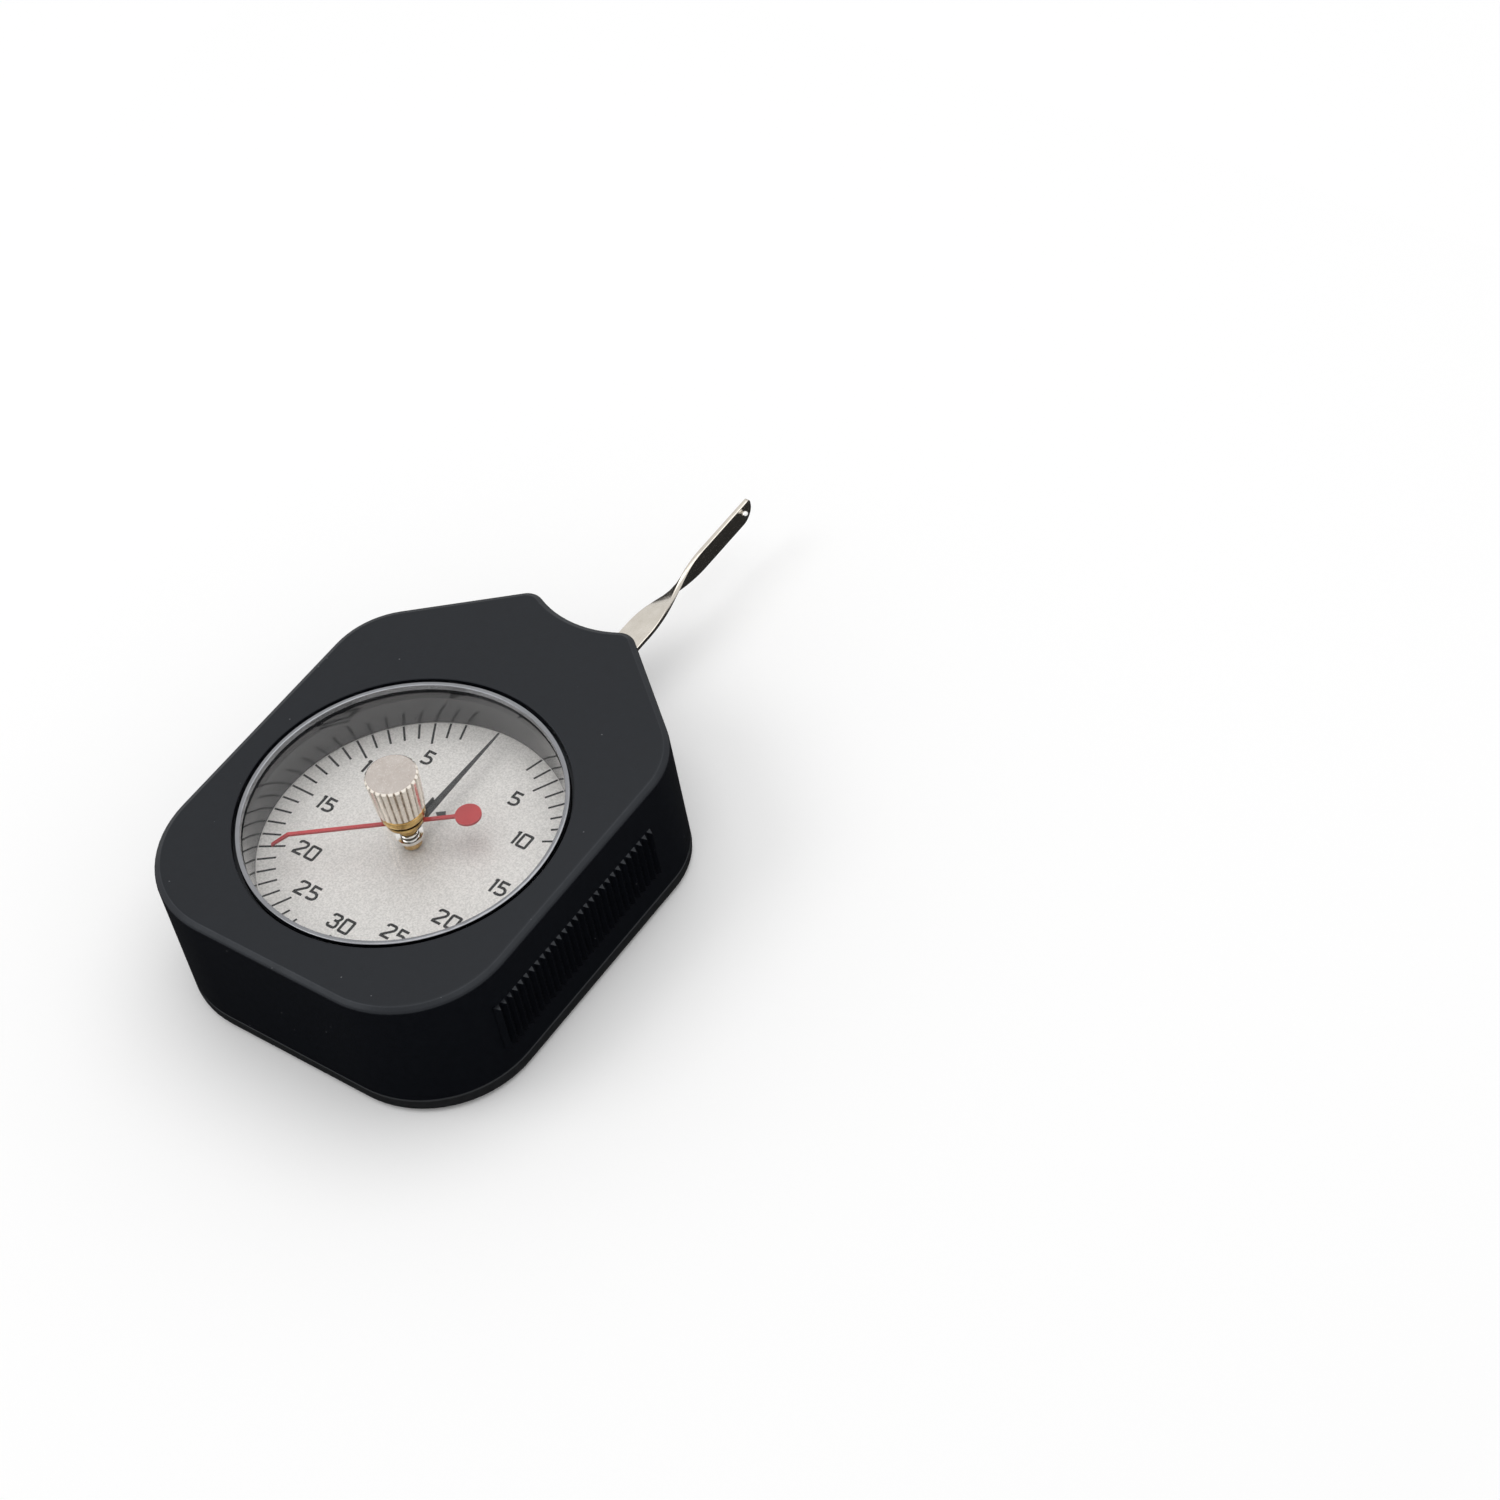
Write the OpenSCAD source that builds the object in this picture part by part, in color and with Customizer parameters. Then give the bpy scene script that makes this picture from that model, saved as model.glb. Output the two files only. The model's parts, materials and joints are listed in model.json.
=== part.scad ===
// Dial tension gauge: a hand-held gauge with a lateral feeler, a symmetric dial and a peak-hold pointer.
// The gauge lies on its back. +Z comes out of the dial and +Y points to the feeler's tip. The origin is on
// the axis that the feeler swings about, at the back face. Heights are measured from the back face, and
// the case, the dial and the movement are drawn about the dial's axis. Millimetres.

/* [Case] */
// Width of the case without the grip ribs
case_w = 62; // [60:0.5:66]
// Depth of the case from the back face to the front face
case_d = 25; // [24.5:0.5:28]
// Distance from the dial's axis to the bottom edge
case_bottom = 33; // [32:0.5:36]
// Angle of the two sloping top edges from the horizontal
slope_angle = 39.2; // [38:0.1:41]
// Height above the dial's axis where the two slopes would meet
slope_apex = 53.5; // [53:0.1:55]
// Radius of the two bottom corners
bottom_corner_r = 17.5; // [14:0.5:18]
// Radius of the corners between the sides and the slopes
side_corner_r = 13.5; // [10:0.5:14]
// Radius of the neck's two shoulders
shoulder_r = 3; // [2.5:0.1:3.5]
// Radius of the shallow dip between the shoulders
dip_r = 17.8; // [16:0.1:20]
// Height of the bottom of the dip above the dial's axis
dip_y = 43.3; // [43:0.1:44]
// Radius of the rounded back edge
edge_r = 1.5; // [1:0.1:1.8]
// Width of the shallow bevel around the front face
bevel_w = 1.25; // [1:0.05:1.5]
// Angle between that bevel and the front face
bevel_angle = 28; // [20:1:35]
// Thickness of the case wall
wall = 2.2; // [1.8:0.1:2.4]
// Thickness of the rear cover's rim, from the back face to the parting line
cover_h = 3; // [2.8:0.1:3.2]

/* [Grip ribs] */
// Number of V-shaped ribs on each side
rib_count = 29; // [15:1:33]
// Distance between two ribs
rib_pitch = 1.34; // [1.2:0.01:1.4]
// Width of a rib where it meets the wall
rib_w = 0.84; // [0.6:0.02:1]
// How far a rib stands out of the wall
rib_h = 0.75; // [0.4:0.05:1]
// Height of the ribs' lower ends
rib_z0 = 8; // [6:0.5:9]
// Height of the ribs' upper ends
rib_z1 = 18; // [16:0.5:19]

/* [Window] */
// Radius of the window in the front face
window_r = 26.05; // [25.9:0.05:26.3]
// Outer radius of the crystal and of the ring that holds it
crystal_r = 25.46; // [25.4:0.01:25.55]
// Inner radius of the bright ring
ring_inner_r = 24.7; // [24.5:0.05:25]
// Thickness of the crystal
crystal_t = 1; // [0.8:0.1:1]
// Depth of the crystal's top below the front face
crystal_drop = 1; // [0.8:0.1:1]
// Inner radius of the grey sleeve at the dial
sleeve_low_r = 24.2; // [24:0.1:24.3]
// Inner radius of the grey sleeve under the crystal
sleeve_top_r = 24.65; // [24.4:0.05:24.7]
// Depth of the dial's face below the front face
dial_drop = 8.65; // [8.5:0.05:8.8]

/* [Feeler] */
// Width of the feeler strip
strip_w = 4.8; // [4.6:0.1:5.2]
// Thickness of the feeler strip
strip_t = 0.85; // [0.8:0.05:0.95]
// Height of the strip's middle plane above the back face
strip_z = 9.75; // [9.6:0.05:9.9]
// Where the quarter twist starts
twist_y0 = 56.5; // [56:0.5:58]
// Where the quarter twist ends
twist_y1 = 74.5; // [73:0.5:76]
// End of the feeler's tip
tip_y = 87.8; // [87:0.1:88]
// Height of the strip, standing on edge, at its tip
tip_w = 3.9; // [3.6:0.1:4.2]

/* [Movement] */
// Gear module of the sector and the pinion
gear_module = 0.36; // [0.36:0.01:0.36]
// Teeth of the pinion
pinion_teeth = 10; // [10:1:10]
// Teeth of the sector's full circle
sector_teeth = 140; // [140:1:140]
// Half of the angle that the toothed sector covers
sector_half_angle = 17; // [16:0.5:18]
// Radius of the lever's shaft
lever_shaft_r = 1; // [0.8:0.1:1.1]
// Radius of the pointer's arbor
arbor_r = 0.6; // [0.5:0.05:0.7]

/* [Pointers and knob] */
// Length of the black pointer from the axis to its tip
pointer_len = 22.4; // [21:0.1:23]
// Angle of the red pointer, clockwise from the zero mark
peak_angle = -126.6; // [-130:0.1:-120]
// Radius of the reset knob at its top, over its ridges
knob_r = 4.1; // [3.9:0.05:4.3]
// Radius of the reset knob at its foot
knob_foot_r = 3.7; // [3.5:0.05:3.8]
// Height of the reset knob's flat top above the back face
knob_top = 33; // [31:0.5:34]
// Number of flutes around the knob
knob_flutes = 24; // [20:1:28]

/* [Hidden] */
$fn = 96;
eps = 0.01;

// Heights above the back face
front_z = case_d;
inner_front_z = front_z - wall;
crystal_top = front_z - crystal_drop;
crystal_bottom = crystal_top - crystal_t;
dial_top = front_z - dial_drop;
dial_t = 0.6;
dial_bottom = dial_top - dial_t;
sleeve_bottom = dial_top + 0.15;
seat_gap = 0.02;
seam_depth = 0.2;
floor_z = wall;
carrier_z0 = 3.2;
carrier_floor_t = 1;
carrier_flange_t = 0.65;
rear_plate_z = 4.9;
front_plate_z = 13.2;
plate_t = 1;
strip_bottom = strip_z - strip_t / 2;
strip_top = strip_z + strip_t / 2;
sector_t = 0.8;

// Gear pair
pinion_pitch_r = gear_module * pinion_teeth / 2;
sector_pitch_r = gear_module * sector_teeth / 2;
lever_y = pinion_pitch_r + sector_pitch_r;
tooth_h = 0.3;

// The lever's swing to either side turns the pointer by half a turn
gear_ratio = sector_teeth / pinion_teeth;
lever_swing = 180 / gear_ratio;

// Radii of what turns with the dial
dial_r = 25.3;
carrier_r = 27.2;
carrier_inner_r = 26;
carrier_open_angle = 45;
cover_hole_r = 21.2;
zero_ring_r = 20.9;
collar_r = 27.5;

// Feeler slot in the neck
slot_half_w = 8;
slot_z0 = 7.8;
slot_z1 = 12.9;

// Places of the screws and pillars, for the +X side
corner_bosses = [[23.5, -23.5], [23, 28.5]];
boss_r = 2.8;
mounting_pos = [8.5, 34.5];
pillar_pos = [7, -6.5];

// The stops stand beside the sector and touch it a little past the ends of the scale. The angle that is
// added to the swing is half of the sector's own width there, with the pin's radius and some play.
stop_d = 16.5;
stop_a = lever_swing + 24;
stop_pos = [stop_d * sin(stop_a), lever_y - stop_d * cos(stop_a)];

// Shafts, bushes, the lever's hub and the hole of the contact pin
pin_y = tip_y - 2.4;
pin_z = strip_z + 0.75;
pin_hole_r = 0.35;
strip_edge_r = 0.18;
tip_low_r = 2.5;
tip_top_r = 0.5;
rivet_x = 2.7;
rivet_hole_r = 0.52;
hub_low = 8.6;
hub_neck_hole_r = 1.62;
lever_bush_r = 2;
arbor_bush_r = 1.5;
arbor_top = 19.5;

// Pointers and the reset knob's bush
pointer_z = 18.95;
pointer_t = 0.2;
peak_z = 21.4;
peak_t = 0.4;
peak_hub_low = 19.95;
peak_half_w = 0.28;
spindle_r = 0.9;
bush_neck_r = 1.9;
bush_low = 22.1;
bush_top = 25.45;
edge_steps = 6;

// Outline of the case. d is the distance that it lies inside the outer wall.
slope_n = [sin(slope_angle), cos(slope_angle)];
slope_c = slope_apex * slope_n[1];
bottom_c = [case_w / 2 - bottom_corner_r, bottom_corner_r - case_bottom];
side_x = case_w / 2 - side_corner_r;
side_c = [side_x, (slope_c - side_corner_r - slope_n[0] * side_x) / slope_n[1]];
dip_c = [0, dip_y + dip_r];
shoulder_x = shoulder_centre_x();
shoulder_c = [shoulder_x, shoulder_line_y(shoulder_x)];
dip_end = atan2(shoulder_c[1] - dip_c[1], shoulder_c[0]);

// The shoulder's centre keeps its radius from the slope and from the dip
function shoulder_line_y(x) = (slope_c - shoulder_r - slope_n[0] * x) / slope_n[1];
function shoulder_centre_x() =
    let (k = slope_n[0] / slope_n[1])
    let (h = shoulder_line_y(0) - dip_c[1])
    let (a = 1 + k * k)
    let (c = h * h - pow(dip_r + shoulder_r, 2))
    (k * h + sqrt(k * k * h * h - a * c)) / a;

function arc(c, r, a0, a1, n) =
    [for (i = [0:n]) c + r * [cos(a0 + (a1 - a0) * i / n), sin(a0 + (a1 - a0) * i / n)]];

function right_half(d) = concat(
    arc(bottom_c, bottom_corner_r - d, -90, 0, 18),
    arc(side_c, side_corner_r - d, 0, 90 - slope_angle, 10),
    arc(shoulder_c, max(shoulder_r - d, 0.3), 90 - slope_angle, 180 + dip_end, 8),
    arc(dip_c, dip_r + d, dip_end, -90, 6)
);

function mirrored(points) = [for (i = [len(points) - 2:-1:0]) [-points[i][0], points[i][1]]];

function outline(d) = concat(right_half(d), mirrored(right_half(d)));

function at_height(points, z) = [for (p = points) [p[0], p[1], z]];

// Front edge from the wall to the face, as pairs of the distance inside the wall and the depth below the
// face: a tight round, the shallow bevel and a soft round
function front_edge() =
    let (outer_r = 0.6, inner_r = 1, a = bevel_angle)
    let (inner_drop = inner_r * (1 - cos(a)))
    let (slope_w = bevel_w - inner_r * sin(a) - outer_r * (1 - sin(a)))
    let (outer_drop = inner_drop + slope_w * tan(a))
    concat(
        [for (i = [0:4]) let (f = 90 - (90 - a) * i / 4)
            [outer_r * (1 - sin(f)), outer_drop + outer_r * (cos(a) - cos(f))]],
        [for (i = [0:3]) let (f = a - a * i / 3) [bevel_w - inner_r * sin(f), inner_r * (1 - cos(f))]]
    );

// Closed surface through rings that all have the same number of points
module loft(rings) {
    n = len(rings[0]);
    last = len(rings) - 1;
    sides = [
        for (i = [0:last - 1], j = [0:n - 1])
            [i * n + j, (i + 1) * n + j, (i + 1) * n + (j + 1) % n, i * n + (j + 1) % n]
    ];
    low_cap = [[for (j = [0:n - 1]) j]];
    high_cap = [[for (j = [n - 1:-1:0]) last * n + j]];
    polyhedron([for (ring = rings, p = ring) p], concat(sides, low_cap, high_cap), convexity = 6);
}

// The dial's axis lies below the lever's, by the centre distance of the gear pair
module about_dial_axis() {
    translate([0, -lever_y, 0]) children();
}

module both_sides() {
    children();
    mirror([1, 0, 0]) children();
}

module tube(outer, inner, z0, z1) {
    translate([0, 0, z0]) difference() {
        cylinder(r = outer, h = z1 - z0);
        translate([0, 0, -1]) cylinder(r = inner, h = z1 - z0 + 2);
    }
}

module rod(r, z0, z1) {
    translate([0, 0, z0]) cylinder(r = r, h = z1 - z0);
}

// Case

// The outline steps in a little at the parting line, so that the two shells meet in a fine groove
module case_body() {
    seam = [at_height(outline(seam_depth), cover_h), at_height(outline(0), cover_h + seam_depth)];
    loft(concat(seam, [for (p = front_edge()) at_height(outline(p[0]), front_z - p[1])]));
}

// Pointed ribs on the +X wall, with flat wall between them and ends that slope away from the wall
module grip_ribs() {
    sunk = 0.3;
    end_slope = 25;
    length = rib_count * rib_pitch;
    root = rib_w / 2 * (rib_h + sunk) / rib_h;
    translate([case_w / 2, 0, 0]) difference() {
        for (i = [0:rib_count - 1])
            translate([0, (i - (rib_count - 1) / 2) * rib_pitch, rib_z0]) linear_extrude(rib_z1 - rib_z0)
                polygon([[-sunk, -root], [rib_h, 0], [-sunk, root]]);
        translate([0, 0, rib_z1]) rotate([0, end_slope, 0]) translate([0, -length / 2, 0])
            cube([3, length, 3]);
        translate([0, 0, rib_z0]) rotate([0, -end_slope, 0]) translate([0, -length / 2, -3])
            cube([3, length, 3]);
    }
}

module case_screw_hole(depth) {
    rod(0.85, cover_h - 1, cover_h + depth);
}

module front_case() {
    hole_depth = 9;
    mounting_hole_depth = 5;
    rim_chamfer = 0.12;
    color([0.18, 0.18, 0.19]) about_dial_axis() difference() {
        union() {
            difference() {
                case_body();
                translate([0, 0, 1]) linear_extrude(inner_front_z - 1) polygon(outline(wall));
            }
            both_sides() for (p = corner_bosses) translate(p) rod(boss_r, cover_h + 0.1, inner_front_z + 1);
            both_sides() translate(mounting_pos) rod(3, front_plate_z + plate_t, inner_front_z + 1);
            rod(collar_r, dial_top + 0.2, inner_front_z + 1);
            both_sides() grip_ribs();
        }
        rod(window_r, crystal_bottom + 0.4, front_z + 1);
        translate([0, 0, front_z - rim_chamfer])
            cylinder(r1 = window_r, r2 = window_r + 2 * rim_chamfer, h = 2 * rim_chamfer);
        rod(crystal_r + 0.1, dial_top, front_z - 0.5);
        both_sides() for (p = corner_bosses) translate(p) case_screw_hole(hole_depth);
        both_sides() translate(mounting_pos)
            rod(0.85, front_plate_z, front_plate_z + plate_t + mounting_hole_depth);
        translate([-slot_half_w, 40, 1]) cube([2 * slot_half_w, 10, slot_z1 - 1]);
    }
}

module rear_cover() {
    lip_h = 1.6;
    lip_gap = 0.08;
    lip_t = 1.1;
    tongue_gap = 0.08;
    rounded = [
        for (i = [0:edge_steps])
            let (a = 90 * i / edge_steps)
            at_height(outline(edge_r * (1 - sin(a))), edge_r * (1 - cos(a)))
    ];
    color([0.17, 0.17, 0.18]) about_dial_axis() difference() {
        union() {
            difference() {
                loft(concat(rounded, [
                    at_height(outline(0), cover_h - seam_depth), at_height(outline(seam_depth), cover_h)
                ]));
                translate([0, 0, floor_z]) linear_extrude(2) polygon(outline(wall));
            }
            translate([0, 0, floor_z - eps]) linear_extrude(cover_h + lip_h - floor_z) difference() {
                polygon(outline(wall + lip_gap));
                polygon(outline(wall + lip_gap + lip_t));
            }
            intersection() {
                translate([0, 0, cover_h - eps]) linear_extrude(slot_z0 - cover_h) polygon(outline(0));
                translate([tongue_gap - slot_half_w, dip_y - wall + 0.1, 0])
                    cube([2 * (slot_half_w - tongue_gap), 10, 20]);
            }
        }
        rod(cover_hole_r, -1, cover_h + 1);
        both_sides() for (p = corner_bosses) translate(p) {
            rod(boss_r + 0.15, floor_z + 0.02, cover_h + 4);
            rod(1, -1, cover_h);
            translate([0, 0, -eps]) cylinder(r1 = 2.1, r2 = 1, h = 1.1);
        }
    }
}

module cover_screws() {
    color([0.55, 0.55, 0.56]) about_dial_axis() both_sides() for (p = corner_bosses)
        translate(p) difference() {
            union() {
                translate([0, 0, 0.25]) cylinder(r1 = 1.8, r2 = 0.8, h = 0.95);
                rod(0.8, 0.25, cover_h + 7);
            }
            for (a = [0, 90]) rotate(a) translate([0, 0, 0.4]) cube([2.2, 0.4, 0.6], center = true);
        }
}

// Window

module crystal() {
    color([0.85, 0.92, 0.95, 0.35]) about_dial_axis()
        tube(crystal_r, bush_neck_r + 0.04, crystal_bottom, crystal_top);
}

module crystal_ring() {
    ring_low = crystal_top + seat_gap;
    ring_top = front_z - 0.05;
    round_r = 0.15;
    color([0.82, 0.83, 0.85]) about_dial_axis() rotate_extrude() polygon(concat(
        [[ring_inner_r, ring_low], [crystal_r, ring_low]],
        arc([crystal_r - round_r, ring_top - round_r], round_r, 0, 90, 3),
        arc([ring_inner_r + round_r, ring_top - round_r], round_r, 90, 180, 3)
    ));
}

module inner_sleeve() {
    sleeve_top = crystal_bottom - seat_gap;
    color([0.42, 0.42, 0.43]) about_dial_axis() rotate_extrude() polygon([
        [sleeve_low_r, sleeve_bottom],
        [crystal_r, sleeve_bottom],
        [crystal_r, sleeve_top],
        [sleeve_top_r, sleeve_top]
    ]);
}

// The bush's head lies on the crystal, and its neck goes down through the crystal and the nut
module crystal_bush() {
    head_r = 3.5;
    head_low = crystal_top + seat_gap;
    foot_r = 0.35;
    top_r = 0.25;
    color([0.80, 0.60, 0.28]) about_dial_axis() rotate_extrude() polygon(concat(
        [[spindle_r + 0.05, bush_low], [bush_neck_r, bush_low], [bush_neck_r, head_low]],
        arc([head_r - foot_r, head_low + foot_r], foot_r, -90, 0, 4),
        arc([head_r - top_r, bush_top - top_r], top_r, 0, 90, 4),
        [[spindle_r + 0.05, bush_top]]
    ));
}

module bush_nut() {
    nut_r = 3.05;
    round_r = 0.45;
    nut_top = crystal_bottom - seat_gap;
    color([0.80, 0.60, 0.28]) about_dial_axis() rotate_extrude() polygon(concat(
        [[bush_neck_r + 0.02, bush_low]],
        arc([nut_r - round_r, bush_low + round_r], round_r, -90, 0, 4),
        [[nut_r, nut_top], [bush_neck_r + 0.02, nut_top]]
    ));
}

// Movement frame

function plate_outline() = concat(
    arc([pillar_pos[0], pillar_pos[1]], 3.4, -90, 0, 8),
    arc([mounting_pos[0], mounting_pos[1]], 3.4, 0, 90, 8),
    arc([-mounting_pos[0], mounting_pos[1]], 3.4, 90, 180, 8),
    arc([-pillar_pos[0], pillar_pos[1]], 3.4, 180, 270, 8)
);

module movement_plate(z) {
    translate([0, 0, z]) difference() {
        linear_extrude(plate_t) polygon(plate_outline());
        rod(arbor_bush_r + 0.02, -1, plate_t + 1);
        translate([0, lever_y]) rod(lever_bush_r + 0.02, -1, plate_t + 1);
        both_sides() translate(pillar_pos) rod(0.85, -1, plate_t + 1);
        both_sides() translate(mounting_pos) rod(0.95, -1, plate_t + 1);
    }
}

module movement_rear_plate() {
    color([0.78, 0.64, 0.34]) about_dial_axis() difference() {
        movement_plate(rear_plate_z);
        for (p = stud_places()) translate(p) rod(0.62, rear_plate_z - 1, rear_plate_z + plate_t + 1);
        both_sides() translate(stop_pos) rod(0.72, rear_plate_z - 1, rear_plate_z + plate_t + 1);
    }
}

module movement_front_plate() {
    color([0.78, 0.64, 0.34]) about_dial_axis() difference() {
        movement_plate(front_plate_z);
        // Round opening that shows the sector's rim and the mesh during assembly
        translate([0, 12, front_plate_z]) rod(5, -1, plate_t + 1);
    }
}

module movement_pillars() {
    color([0.72, 0.60, 0.32]) about_dial_axis() both_sides() translate(pillar_pos)
        tube(1.9, 0.8, rear_plate_z + plate_t, front_plate_z);
}

module mounting_sleeves() {
    color([0.72, 0.60, 0.32]) about_dial_axis() both_sides() translate(mounting_pos)
        tube(1.9, 0.95, rear_plate_z + plate_t, front_plate_z);
}

module plate_screw(head_r, head_h, shank_r, length) {
    difference() {
        union() {
            rod(head_r, -head_h, 0);
            rod(shank_r, -head_h, length);
        }
        translate([0, 0, -head_h]) cube([2 * head_r + 1, 0.4, 0.5], center = true);
    }
}

module movement_screws() {
    color([0.60, 0.61, 0.62]) about_dial_axis() both_sides() translate(pillar_pos) {
        translate([0, 0, rear_plate_z]) plate_screw(1.5, 0.5, 0.75, 4);
        translate([0, 0, front_plate_z + plate_t]) mirror([0, 0, 1]) plate_screw(1.5, 0.5, 0.75, 3.5);
    }
}

module mounting_screws() {
    color([0.60, 0.61, 0.62]) about_dial_axis() both_sides() translate(mounting_pos)
        translate([0, 0, rear_plate_z]) plate_screw(1.7, 0.8, 0.8, 13);
}

module lever_bushes() {
    color([0.80, 0.62, 0.30]) about_dial_axis() translate([0, lever_y]) {
        tube(lever_bush_r, lever_shaft_r + 0.04, rear_plate_z - 0.1, rear_plate_z + plate_t + 0.2);
        tube(lever_bush_r, lever_shaft_r + 0.04, front_plate_z - 0.2, front_plate_z + plate_t);
    }
}

module arbor_bushes() {
    color([0.80, 0.62, 0.30]) about_dial_axis() {
        tube(arbor_bush_r, arbor_r + 0.04, rear_plate_z, rear_plate_z + plate_t + 0.2);
        tube(arbor_bush_r, arbor_r + 0.04, front_plate_z - 0.2, front_plate_z + plate_t);
    }
}

module stop_pins() {
    color([0.62, 0.63, 0.65]) about_dial_axis() both_sides() translate(stop_pos)
        rod(0.7, rear_plate_z, strip_top + 0.9);
}

function stud_places() = [[0, lever_y - 8.2], [6.4, 0]];

// Flat spiral strip. It starts at radius r0 and ends at r1, turns are full turns.
module spiral(r0, r1, turns, thickness, height, end_angle) {
    steps = round(turns * 20);
    function edge(i, side) =
        let (a = end_angle - 360 * turns * (1 - i / steps))
        (r0 + (r1 - r0) * i / steps + side * thickness / 2) * [cos(a), sin(a)];
    outer = [for (i = [0:steps]) edge(i, 1)];
    inner = [for (i = [steps:-1:0]) edge(i, -1)];
    linear_extrude(height) polygon(concat(outer, inner));
}

module measuring_spring() {
    color([0.50, 0.52, 0.58]) about_dial_axis() translate([0, lever_y, 6.7])
        spiral(2.75, 7.7, 3.5, 0.25, 1.4, -90);
}

module spring_stud() {
    color([0.72, 0.60, 0.32]) about_dial_axis() translate(stud_places()[0]) rod(0.6, rear_plate_z, 8.4);
}

module hairspring() {
    color([0.50, 0.52, 0.58]) about_dial_axis() translate([0, 0, 7.2]) spiral(1.75, 5.9, 4, 0.15, 0.8, 0);
}

module hairspring_stud() {
    color([0.72, 0.60, 0.32]) about_dial_axis() translate(stud_places()[1]) rod(0.6, rear_plate_z, 8.4);
}

// Feeler lever

// Blend from 0 to 1 with a level start and end
function smooth(t) = let (u = min(max(t, 0), 1)) u * u * (3 - 2 * u);

function twist_at(y) = 90 * smooth((y - twist_y0) / (twist_y1 - twist_y0));

function half_width_at(y) =
    (strip_w - (strip_w - tip_w) * smooth((y - twist_y0) / (twist_y1 - twist_y0))) / 2;

// How far a rounded corner of the tip has cut into the strip's edge at y
function corner_cut(y, r) =
    let (past = y - (tip_y - r))
    past <= 0 ? 0 : r - sqrt(max(r * r - past * past, 0));

// Section of the strip: the edge at +X turns up, and the tip's lower corner is rounder than its upper one
function strip_ring(y) =
    let (a = twist_at(y), h = strip_t / 2, b = strip_edge_r)
    let (low = half_width_at(y) - corner_cut(y, tip_low_r))
    let (high = half_width_at(y) - corner_cut(y, tip_top_r))
    let (across = [cos(a), 0, sin(a)], through = [sin(a), 0, -cos(a)])
    let (section = concat(
        arc([b - low, b - h], b, 180, 270, 2),
        arc([high - b, b - h], b, 270, 360, 2),
        arc([high - b, h - b], b, 0, 90, 2),
        arc([b - low, h - b], b, 90, 180, 2)
    ))
    [for (c = section) [0, y, strip_z] + c[0] * across + c[1] * through];

module feeler() {
    blade_y0 = lever_y + 6;
    twist_steps = 20;
    tip_steps = 8;
    round_y = tip_y - tip_low_r;
    ys = concat(
        [blade_y0],
        [for (i = [0:twist_steps]) twist_y0 + (twist_y1 - twist_y0) * i / twist_steps],
        [for (i = [1:3]) twist_y1 + (round_y - twist_y1) * i / 3],
        [for (i = [1:tip_steps]) round_y + tip_low_r * sin(90 * i / tip_steps)]
    );
    color([0.76, 0.75, 0.72]) about_dial_axis() difference() {
        union() {
            loft([for (y = ys) strip_ring(y)]);
            translate([0, lever_y]) rod(4, strip_bottom, strip_top);
            translate([-strip_w / 2, lever_y, strip_bottom]) cube([strip_w, 6.5, strip_t]);
        }
        translate([0, lever_y]) rod(hub_neck_hole_r, strip_bottom - 1, strip_top + 1);
        for (a = [0, 180]) translate([0, lever_y]) rotate(a) translate([rivet_x, 0])
            rod(rivet_hole_r, strip_bottom - 1, strip_top + 1);
        translate([0, pin_y, pin_z]) rotate([0, 90, 0]) rod(pin_hole_r, -1, 1);
    }
}

// The pin's shank goes through the strip, and its ball seats on the strip's side
module contact_pin() {
    ball_r = 0.62;
    ball_x = 0.55;
    shank_r = pin_hole_r - 0.02;
    meet = acos(shank_r / ball_r);
    color([0.86, 0.85, 0.83]) about_dial_axis() translate([strip_t / 2, pin_y, pin_z]) rotate([0, 90, 0])
        rotate_extrude($fn = 48) polygon(concat(
            [[0, -strip_t], [shank_r, -strip_t]],
            arc([0, ball_x], ball_r, -meet, 90, 12)
        ));
}

module lever_shaft() {
    color([0.66, 0.67, 0.69]) about_dial_axis() translate([0, lever_y])
        rod(lever_shaft_r, rear_plate_z, front_plate_z + plate_t - 0.1);
}

module lever_hub() {
    color([0.78, 0.62, 0.32]) about_dial_axis() translate([0, lever_y]) difference() {
        union() {
            rod(4, hub_low, strip_bottom);
            rod(1.6, hub_low, strip_top + sector_t + 0.5);
        }
        rod(lever_shaft_r, hub_low - 1, 20);
        for (a = [0, 180]) rotate(a) translate([rivet_x, 0]) rod(rivet_hole_r, hub_low - 1, 20);
    }
}

module hub_rivets() {
    color([0.70, 0.70, 0.72]) about_dial_axis() translate([0, lever_y]) for (a = [0, 180]) rotate(a)
        translate([rivet_x, 0]) {
            rod(0.5, hub_low, strip_top + sector_t);
            rod(0.8, strip_top + sector_t, strip_top + sector_t + 0.3);
        }
}

module spring_collet() {
    color([0.78, 0.62, 0.32]) about_dial_axis() translate([0, lever_y])
        tube(2.3, lever_shaft_r, 6.5, hub_low);
}

function sector_tooth(a) =
    let (root = sector_pitch_r - tooth_h - 0.05, tip = sector_pitch_r + tooth_h)
    let (wide = 0.80, mid = 0.52, narrow = 0.26)
    [
        polar(root, a - wide), polar(sector_pitch_r, a - mid), polar(tip, a - narrow),
        polar(tip, a + narrow), polar(sector_pitch_r, a + mid), polar(root, a + wide)
    ];

function polar(r, a) = r * [cos(a), sin(a)];

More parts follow.
